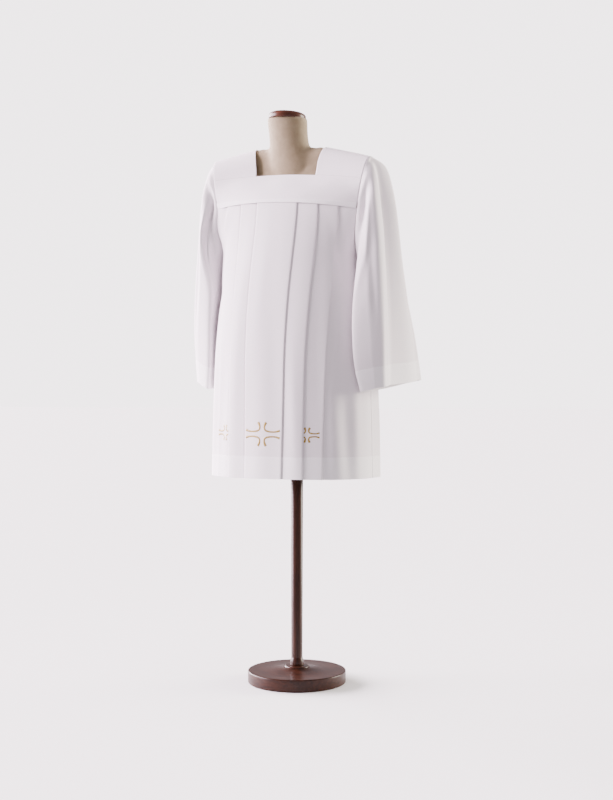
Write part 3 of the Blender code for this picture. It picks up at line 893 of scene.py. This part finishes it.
def sleeve_points(angle, along, side):
    """Points of a sleeve: along is 0 at the armhole and 1 at the cuff."""
    table = [(index / (len(SLEEVE) - 1), *row) for index, row in enumerate(SLEEVE)]
    found = smooth_rows(table, 0, along)
    out_x, out_z, in_x, in_z, front, back, square, wrap = np.moveaxis(found[..., 1:], -1, 0)
    turn = np.radians(angle)
    up = np.sign(np.cos(turn)) * np.abs(np.cos(turn)) ** (2.0 / square)
    forward = np.sign(np.sin(turn)) * np.abs(np.sin(turn)) ** (2.0 / square)
    lift = sleeve_lift(angle, along, forward, up, side)
    deep = np.where(forward > 0, -front, back)
    y = -forward * (deep + lift * np.abs(forward))
    inner = 0.5 * (1.0 - up)
    y = y - FRONT_TURN * (inner - 0.5) * np.maximum(forward, 0.0) * smooth(along, 0.15, 0.50)
    x = (out_x + in_x) / 2.0 + up * (out_x - in_x) / 2.0
    x = x - wrap * inner * forward**2 + lift * np.maximum(up, 0.0)
    in_front = np.maximum(forward, 0.0) ** 2 * np.maximum(up, 0.0)
    x = x - FRONT_NARROW * in_front * smooth(along, 0.05, 0.40)
    z = (out_z + in_z) / 2.0 + up * (out_z - in_z) / 2.0 + CUFF_TILT * along**2 * y
    y = y + SIDE_SEAM_Y * inner * (1.0 - along)
    y = y + ARMHOLE_TOP_Y * (1.0 - inner) ** 2 * (1.0 - along) ** 3
    x = x + SEAM_GAP + WALL * (0.4 + 1.2 * inner)
    z = z - RIGHT_CUFF_DROP * along**2 * (side < 0)
    return np.stack([side * x, y, z], axis=-1)


def make_sleeve(name, side):
    """A sleeve whose last rows run at even distances from the cuff, for its hem."""
    angles = np.arange(0.0, 360.0, 2.0)
    fine = np.linspace(0.0, 1.0, 301)
    angle, along = np.meshgrid(angles, fine, indexing="ij")
    length = np.linalg.norm(np.diff(sleeve_points(angle, along, side), axis=1), axis=2)
    edge = np.zeros((len(angles), 1))
    from_cuff = np.concatenate([edge, np.cumsum(length[:, ::-1], axis=1)], axis=1)
    hem = hem_steps(CUFF_HEM)
    hem_along = np.array([np.interp(hem, run, 1.0 - fine) for run in from_cuff])
    body = np.linspace(0.0, 1.0, SLEEVE_ROWS + 1)[:-1] ** 1.15
    body_along = body[None, :] * (hem_along[:, -1:] - 0.004)
    along = np.concatenate([body_along, hem_along[:, ::-1]], axis=1).T
    angle = np.broadcast_to(angles[None, :], along.shape)
    rows = leaned(fuller_side(sleeve_points(angle, along, side)))
    rows = rows[::-1, ::-1] if side > 0 else rows[::-1]
    normals = row_normals(np.concatenate([rows[:, -1:], rows, rows[:, :1]], axis=1))[:, 1:-1]
    steps = np.linalg.norm(np.diff(rows, axis=1), axis=2)
    across = np.concatenate([np.zeros((len(rows), 1)), np.cumsum(steps, axis=1)], axis=1)
    up = np.linalg.norm(np.diff(rows, axis=0), axis=2).mean(axis=1)
    up = np.concatenate([[0.0], np.cumsum(up)])[:, None]
    stitch_row = int(np.argmin(np.abs(hem - CUFF_HEM)))
    groove = np.zeros(len(rows))
    groove[stitch_row] = STITCH_GROOVE
    groove[stitch_row - 1] = groove[stitch_row + 1] = 0.32 * STITCH_GROOVE
    piece = cloth_mesh(name, rows - normals * groove[:, None, None], across, up, closed=True)
    doubled = (np.arange(len(rows)) <= stitch_row)[:, None] & np.ones(rows.shape[1], bool)
    ring = np.concatenate([rows[stitch_row], rows[stitch_row, :1]])
    out = np.concatenate([normals[stitch_row], normals[stitch_row, :1]])
    return sew(piece, doubled, [(ring, out)], "hem_stitches")


for hand, side in (("left", 1.0), ("right", -1.0)):
    sleeve_cloth, sleeve_stitches = make_sleeve(f"sleeve_{hand}_cloth", side)
    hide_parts(f"sleeve_{hand}")

# ---- Embroidery ----
# Three crosses in gold thread above the hem, the middle one larger. Each has four curved strokes
# in satin stitch, whose threads lie side by side across the stroke.

CROSS_HEIGHT = 0.696
SMALL_CROSS = 0.64
CROSS_REACH = (0.060, 0.040)
THREAD_STEP = 0.00021
THREAD_PITCH = 0.00084
THREAD_RIDGE = 0.00007
STROKE_CROWN = 0.00062
STROKE_END = 0.0010
STROKE_SINK = 0.0001
STROKE_SIDES = 9

STROKE = (
    # x, z, half_thick
    (0.0125, 0.0320, 0.0040),
    (0.0088, 0.0256, 0.0036),
    (0.0070, 0.0185, 0.0029),
    (0.0088, 0.0120, 0.0026),
    (0.0142, 0.0086, 0.0027),
    (0.0235, 0.0068, 0.0025),
    (0.0342, 0.0064, 0.0024),
    (0.0438, 0.0076, 0.0027),
    (0.0535, 0.0104, 0.0034),
)


def stroke_line(quarter_x, quarter_z, size):
    """Centre, side direction and half thickness along one stroke of a cross, finely spaced."""
    keys = np.linspace(0.0, 1.0, len(STROKE))
    table = [(key, *row) for key, row in zip(keys, STROKE)]
    found = smooth_rows(table, 0, np.linspace(0.0, 1.0, 501))
    centre = found[:, 1:3] * size * (quarter_x, quarter_z)
    run = run_along(centre)
    steps = np.arange(0.0, run[-1], THREAD_STEP)
    line = np.stack([np.interp(steps, run, centre[:, axis]) for axis in range(2)], axis=1)
    half = np.interp(steps, run, found[:, 3]) * size**0.35
    along = np.gradient(line, axis=0)
    along /= np.linalg.norm(along, axis=1)[:, None]
    beside = np.stack([-along[:, 1], along[:, 0]], axis=1)
    return line, beside, half, steps


def front_row(places, height, under):
    """Points across the front's outer face at one height, and the outward directions."""
    outline = body_outline(height, 1)
    away = np.abs(places)
    depth = -panel_lift(places, height, 1)
    if under:
        folds, pitch = folds_at(height)
        tuck = folds[1] + PLEAT_TUCK
        rise = np.clip((away - tuck) / (folds[2] - pitch / 2.0 - tuck), 0.0, 1.0)
        dip = FOLD_FOOT * bell(away, folds[1], FOLD_FOOT_WIDTH)
        depth = depth + 2.0 * pitch * (1.0 - rise) + dip
    base = on_body(outline, away, depth)
    outward = on_body(outline, away, depth - 0.001) - base
    for points in (base, outward):
        points[places < 0, 0] *= -1.0
    return leaned(base), outward / np.linalg.norm(outward, axis=1)[:, None]


def grid_surface(centre_distance, half_span, under):
    """The front's face as a small grid, to read the embroidery's points from."""
    places = np.linspace(centre_distance - half_span, centre_distance + half_span, 49)
    heights = np.linspace(CROSS_HEIGHT - CROSS_REACH[1], CROSS_HEIGHT + CROSS_REACH[1], 17)
    rows = [front_row(places, height, under) for height in heights]
    points, outward = (np.array([row[part] for row in rows]) for part in (0, 1))
    return places, heights, points, outward


def read_grid(grid, distance, height):
    """Values of a grid at any distance and height inside it."""
    places, heights, points, outs = grid
    column = np.clip((distance - places[0]) / (places[1] - places[0]), 0, len(places) - 1.001)
    row = np.clip((height - heights[0]) / (heights[1] - heights[0]), 0, len(heights) - 1.001)
    left, low = column.astype(int), row.astype(int)
    part_x, part_z = (column - left)[..., None], (row - low)[..., None]

    def blend(values):
        bottom = values[low, left] * (1 - part_x) + values[low, left + 1] * part_x
        top = values[low + 1, left] * (1 - part_x) + values[low + 1, left + 1] * part_x
        return bottom * (1 - part_z) + top * part_z

    return blend(points), blend(outs)


def gold_cross(name, centre_distance, size, under):
    """One embroidered cross, raised from the cloth, with a ridge for each thread."""
    grid = grid_surface(centre_distance, CROSS_REACH[0] * size, under)
    shares = np.linspace(-1.0, 1.0, STROKE_SIDES)
    verts, faces = [], []
    for quarter_x in (-1.0, 1.0):
        for quarter_z in (-1.0, 1.0):
            line, beside, half, steps = stroke_line(quarter_x, quarter_z, size)
            ragged = 1.0 + 0.05 * np.sin(steps * 23000.0 + quarter_x)
            ragged = ragged + 0.04 * np.sin(steps * 9100.0)
            width = (half * ragged)[:, None, None] * shares[None, :, None]
            flat = line[:, None, :] + beside[:, None, :] * width
            to_end = steps[-1] - steps
            end = np.minimum(smooth(steps, 0.0, STROKE_END), smooth(to_end, 0.0, STROKE_END))
            crown = np.sqrt(np.maximum(1.0 - shares**2, 0.0))[None, :] * STROKE_CROWN
            ridge = THREAD_RIDGE * np.sin(steps * 2.0 * math.pi / THREAD_PITCH)[:, None]
            raised = (crown + ridge * (np.abs(shares) < 0.99)) * end[:, None]
            lift = CLOTH_THICK * 0.5 - STROKE_SINK + raised
            places, heights = centre_distance + flat[..., 0], CROSS_HEIGHT + flat[..., 1]
            point, out = read_grid(grid, places, heights)
            base = len(verts)
            verts += (point + out * lift[..., None]).reshape(-1, 3).tolist()
            for row in range(len(steps) - 1):
                for column in range(STROKE_SIDES - 1):
                    low = base + row * STROKE_SIDES + column
                    faces.append((low, low + 1, low + STROKE_SIDES + 1, low + STROKE_SIDES))
    mesh = bpy.data.meshes.new(name)
    mesh.from_pydata(verts, [], faces)
    made = bmesh.new()
    made.from_mesh(mesh)
    for face in made.faces:
        if face.normal.y > 0:
            face.normal_flip()
    made.to_mesh(mesh)
    made.free()
    mesh.shade_smooth()
    mesh.materials.append(gold_finish)
    piece = new_object(name, mesh)
    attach(piece, "root")
    return piece


gold_finish, gold_tree, gold_shader = finish_of("gold_embroidery_thread", (0.60, 0.38, 0.09), 0.38)
gold_noise = node(gold_tree, "TexNoise", Scale=900.0, Detail=3.0)
gold_tone = ramp(gold_tree, (0.140, 0.088, 0.010), (0.280, 0.185, 0.030), (0.3, 0.7))
gold_bump = node(gold_tree, "Bump", Strength=0.4, Distance=0.0002)
join(gold_tree, (node(gold_tree, "TexCoord"), "Object", gold_noise, "Vector"))
pattern_finish(gold_tree, gold_shader, gold_noise, gold_tone, gold_bump)
gold_shader.inputs["Metallic"].default_value = 0.35

gold_cross("middle_cross", 0.0, 1.0, False)
gold_cross("left_cross", 0.129, SMALL_CROSS, True)
gold_cross("right_cross", -0.138, SMALL_CROSS, True)

# ---- Dress form ----
# A limbless dress form of a shop's kind: a padded torso and neck covered in cream linen, which
# leans a little to the wearer's left, under a turned and polished cap of mahogany.

FORM_CLEAR = 0.0011
RING_POINTS = 96
FLARE_SIDES = (0.078, 0.092)
FLARE_HEIGHTS = (1.430, 1.460, 1.525, 1.550)
NECK_TOP = (-0.008, -0.039, 1.5665)

FORM = (
    # z, half_width, front_y, back_y, squareness
    (0.7800, 0.1380, -0.100, 0.088, 2.2),
    (0.7860, 0.1500, -0.111, 0.098, 2.2),
    (0.8000, 0.1590, -0.119, 0.105, 2.2),
    (0.8800, 0.1680, -0.124, 0.112, 2.2),
    (0.9600, 0.1580, -0.116, 0.104, 2.2),
    (1.0400, 0.1500, -0.107, 0.096, 2.2),
    (1.1200, 0.1560, -0.108, 0.100, 2.2),
    (1.2000, 0.1680, -0.110, 0.106, 2.2),
    (1.2700, 0.1790, -0.104, 0.106, 2.2),
    (1.3200, 0.1880, -0.092, 0.098, 2.2),
    (1.3700, 0.1980, -0.070, 0.082, 2.2),
    (1.4050, 0.2040, -0.055, 0.063, 2.1),
    (1.4350, 0.2070, -0.050, 0.036, 2.0),
    (1.4560, 0.2060, -0.047, 0.010, 2.0),
)

FORM_SHOULDERS = (
    # half_width, half_depth
    (0.200, 0.018),
    (0.180, 0.018),
    (0.150, 0.015),
    (0.120, 0.012),
    (0.100, 0.008),
    (0.085, 0.005),
)

FORM_NECK = (
    # z, middle_x, middle_y, half_width, half_depth
    (1.4000, 0.000, -0.012, 0.080, 0.044),
    (1.4400, -0.001, -0.020, 0.073, 0.047),
    (1.4700, -0.003, -0.027, 0.065, 0.046),
    (1.4950, -0.005, -0.032, 0.059, 0.045),
    (1.5300, -0.007, -0.036, 0.058, 0.045),
    (1.5665, -0.008, -0.039, 0.058, 0.046),
)


def form_ring(middle_x, middle_y, half_width, half_depth, square, height):
    """One ring of the form."""
    turn = np.linspace(0.0, 2.0 * math.pi, RING_POINTS, endpoint=False)
    across = np.sign(np.cos(turn)) * np.abs(np.cos(turn)) ** (2.0 / square)
    deep = np.sign(np.sin(turn)) * np.abs(np.sin(turn)) ** (2.0 / square)
    ring = np.stack([middle_x + half_width * across, middle_y + half_depth * deep], axis=1)
    return leaned(np.concatenate([ring, np.full((RING_POINTS, 1), height)], axis=1))


def add_rings(made, rings):
    """A closed solid through rings."""
    grid = [[made.verts.new(point) for point in ring] for ring in rings]
    for low, high in zip(grid, grid[1:]):
        for step in range(RING_POINTS):
            after = (step + 1) % RING_POINTS
            made.faces.new((low[step], low[after], high[after], high[step]))
    made.faces.new(grid[0][::-1])
    made.faces.new(grid[-1])


rings = []
for height in list(np.linspace(0.780, 0.800, 6)) + list(np.linspace(0.810, 1.456, 60)):
    _, half_width, front_y, back_y, square = smooth_rows(FORM, 0, height)
    middle_y, half_depth = (front_y + back_y) / 2.0, (back_y - front_y) / 2.0
    rings.append(form_ring(0.0, middle_y, half_width, half_depth, square, height))
for half_width, half_depth in FORM_SHOULDERS:
    ridge = yoke_points(np.array(0.0), np.array(half_width / ARMHOLE_TOP_X), np.array(0.0))
    height = ridge[2] - WALL / 2.0 - FORM_CLEAR
    rings.append(form_ring(0.0, ridge[1], half_width, half_depth, 2.0, height))
form_mesh = bpy.data.meshes.new("dress_form_linen")
made = bmesh.new()
add_rings(made, rings)
necks = smooth_rows(FORM_NECK, 0, np.linspace(FORM_NECK[0][0], NECK_TOP[2], 30))
add_rings(made, [form_ring(row[1], row[2], row[3], row[4], 2.0, row[0]) for row in necks])
bmesh.ops.recalc_face_normals(made, faces=made.faces)
made.to_mesh(form_mesh)
made.free()
form = new_object("dress_form_linen", form_mesh)
pick(form)
blend = form.modifiers.new("blend", "REMESH")
blend.mode = "VOXEL"
blend.voxel_size = 0.0042
soften = form.modifiers.new("soften", "SMOOTH")
soften.factor = 0.5
soften.iterations = 4
for step in ("blend", "soften"):
    bpy.ops.object.modifier_apply(modifier=step)
neck_base = form.vertex_groups.new(name="neck_base")
for vertex in form.data.vertices:
    upright = vertex.co.z + LEAN * vertex.co.x
    weight = 1.0 - smooth(abs(vertex.co.x), *FLARE_SIDES)
    weight *= between(upright, *FLARE_HEIGHTS)
    if weight > 0.0:
        neck_base.add([vertex.index], float(weight), "REPLACE")
flare = form.modifiers.new("flare", "SMOOTH")
flare.factor = 0.5
flare.iterations = 60
flare.vertex_group = "neck_base"
bpy.ops.object.modifier_apply(modifier="flare")
form.vertex_groups.clear()
form.data.shade_smooth()
form.select_set(False)

linen, linen_tree, linen_shader = finish_of("cream_linen", (0.30, 0.21, 0.14), 0.85)
linen_place = node(linen_tree, "TexCoord")
linen_weave = woven(
    linen_tree, linen_place, "Object", "XZ", Scale=260.0, Distortion=1.5, Detail=2.0
)
linen_noise = node(linen_tree, "TexNoise", Scale=55.0, Detail=5.0)
linen_tone = ramp(linen_tree, (0.236, 0.176, 0.100), (0.288, 0.221, 0.132), (0.3, 0.7))
linen_bump = node(linen_tree, "Bump", Strength=0.3, Distance=0.0004)
join(
    linen_tree,
    (linen_place, "Object", linen_noise, "Vector"),
    (linen_noise, "Fac", linen_tone, "Fac"),
    (linen_weave, "Value", linen_bump, "Height"),
    (linen_tone, "Color", linen_shader, "Base Color"),
    (linen_bump, "Normal", linen_shader, "Normal"),
)
linen_shader.inputs["Sheen Weight"].default_value = 0.2
form.data.materials.append(linen)
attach(form, "root")
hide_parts("form_torso")


# The wood's tones. Each piece scales them as painted light and shade: lighter on the cap, darker on
# the pole and base.
MAHOGANY_DARK = np.array((0.016, 0.0052, 0.0028))
MAHOGANY_LIGHT = np.array((0.044, 0.0145, 0.0078))


def mahogany(name, along, painted_light_scale):
    """Polished red-brown wood: grain along the piece under a glossy coat, its tones scaled by
    painted_light_scale as painted light and shade.
    """
    material, tree, shader = finish_of(name, (0.03, 0.008, 0.004), 0.36)
    stretch = node(tree, "Mapping", Scale=along)
    grain = node(tree, "TexNoise", Scale=22.0, Detail=8.0, Roughness=0.62, Distortion=0.7)
    tone = ramp(tree, MAHOGANY_DARK * painted_light_scale, MAHOGANY_LIGHT * painted_light_scale, (0.32, 0.68))
    bump = node(tree, "Bump", Strength=0.08, Distance=0.0004)
    join(
        tree,
        (node(tree, "TexCoord"), "Object", stretch, "Vector"),
        (stretch, "Vector", grain, "Vector"),
    )
    pattern_finish(tree, shader, grain, tone, bump)
    shader.inputs["Specular IOR Level"].default_value = 0.12
    shader.inputs["Coat Weight"].default_value = 0.10
    shader.inputs["Coat Roughness"].default_value = 0.14
    return material


def edit(piece):
    """Enter edit mode on a piece with nothing selected."""
    pick(piece)
    bpy.ops.object.mode_set(mode="EDIT")
    bpy.ops.mesh.select_all(action="DESELECT")


def edit_top(piece):
    """Enter edit mode with the flat top selected."""
    edit(piece)
    shape = bmesh.from_edit_mesh(piece.data)
    for face in shape.faces:
        face.select = face.normal.z > 0.9
    bmesh.update_edit_mesh(piece.data)


def leave_edit():
    """Leave edit mode with the normals outward."""
    bpy.ops.mesh.select_all(action="SELECT")
    bpy.ops.mesh.remove_doubles(threshold=0.00002)
    bpy.ops.mesh.normals_make_consistent(inside=False)
    bpy.ops.object.mode_set(mode="OBJECT")


def round_edges(piece, width, segments, angle):
    """Round the edges that are sharper than this angle, and shade the piece smooth."""
    rounding = piece.modifiers.new("rounding", "BEVEL")
    rounding.width = width
    rounding.segments = segments
    rounding.limit_method = "ANGLE"
    rounding.angle_limit = math.radians(angle)
    bpy.ops.object.modifier_apply(modifier="rounding")
    piece.data.shade_smooth()


def place_applied(piece):
    """Put the piece's place and turn into its mesh."""
    pick(piece)
    bpy.ops.object.transform_apply(location=True, rotation=True, scale=True)
    piece.select_set(False)


CAP_RADIUS = 0.052
CAP_RIM = 0.006
CAP_DOME = (
    # rise, scale
    (0.0055, 0.985),
    (0.0040, 0.940),
    (0.0030, 0.860),
    (0.0016, 0.720),
    (0.0007, 0.500),
    (0.0002, 0.250),
)

bpy.ops.mesh.primitive_cylinder_add(
    vertices=96, radius=CAP_RADIUS, depth=CAP_RIM, location=(0.0, 0.0, CAP_RIM / 2.0)
)
cap = bpy.context.object
cap.name = "neck_cap_turned"
edit_top(cap)
for rise, scale in CAP_DOME:
    bpy.ops.mesh.extrude_region_move(TRANSFORM_OT_translate={"value": (0.0, 0.0, rise)})
    bpy.ops.transform.resize(value=(scale, scale, 1.0), center_override=(0.0, 0.0, 0.0))
leave_edit()
round_edges(cap, 0.0020, 4, 35.0)
cap.location = tuple(leaned(NECK_TOP) + np.array((0.0, 0.0, SEAM_GAP)))
cap.rotation_euler = (0.0, math.atan(LEAN), 0.0)
place_applied(cap)
# Painted light: the cap's tones are scaled to twice the pole's and base's, so that it looks lit.
cap.data.materials.append(mahogany("cap_mahogany", (1.0, 4.0, 4.0), 2.0))
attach(cap, "root")
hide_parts("neck_cap")

# ---- Stand ----
# A turned pole of mahogany rises from a heavy round base into the underside of the form. The
# base is turned too: a low dome with a full round edge and a collar round the pole's foot.

BASE_RADIUS = 0.137
BASE_THICK = 0.034
POLE_RADIUS = 0.019

POLE_GROOVES = (
    # height, scale
    (0.062, 0.96),
    (0.066, 0.90),
    (0.070, 0.96),
    (0.700, 0.96),
    (0.704, 0.90),
    (0.708, 0.96),
)

BASE_DOME = (
    # inset, rise
    (0.020, 0.0000),
    (0.045, 0.0006),
    (0.012, 0.0030),
    (0.022, 0.0010),
    (0.004, 0.0040),
)
BASE_COLLAR = 0.0034

pole_low, pole_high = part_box("stand_pole")
bpy.ops.mesh.primitive_cylinder_add(
    vertices=64,
    radius=POLE_RADIUS,
    depth=float(pole_high[2] - pole_low[2]),
    location=(0.0, 0.0, float(pole_low[2] + pole_high[2]) / 2.0),
)
pole = bpy.context.object
pole.name = "stand_pole_turned"
place_applied(pole)
edit(pole)
for height, scale in POLE_GROOVES:
    bpy.ops.mesh.select_all(action="SELECT")
    bpy.ops.mesh.bisect(plane_co=(0.0, 0.0, height), plane_no=(0.0, 0.0, 1.0))
    shape = bmesh.from_edit_mesh(pole.data)
    for vert in shape.verts:
        vert.select = abs(vert.co.z - height) < 1e-5
    shape.select_flush(True)
    bmesh.update_edit_mesh(pole.data)
    bpy.ops.transform.resize(value=(scale, scale, 1.0), center_override=(0.0, 0.0, height))
leave_edit()
round_edges(pole, 0.0012, 3, 40.0)
# Painted shade, as on the base: the pole's tones are scaled to under half of the cap's.
pole.data.materials.append(mahogany("pole_mahogany", (5.0, 5.0, 0.6), 0.9))
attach(pole, "root")
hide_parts("stand_pole")

bpy.ops.mesh.primitive_cylinder_add(
    vertices=128, radius=BASE_RADIUS, depth=BASE_THICK, location=(0.0, 0.0, BASE_THICK / 2.0)
)
base = bpy.context.object
base.name = "stand_base_turned"
place_applied(base)
edit_top(base)
for inset, rise in BASE_DOME:
    bpy.ops.mesh.inset(thickness=inset, depth=0.0)
    bpy.ops.transform.translate(value=(0.0, 0.0, rise))
bpy.ops.mesh.extrude_region_move(TRANSFORM_OT_translate={"value": (0.0, 0.0, BASE_COLLAR)})
leave_edit()
round_edges(base, 0.0150, 10, 60.0)
# Painted shade: the base keeps the dark tones, under half of the cap's, for the garment's shade
# over it.
base.data.materials.append(mahogany("base_mahogany", (1.2, 4.0, 4.0), 0.9))
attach(base, "root")
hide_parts("stand_base")
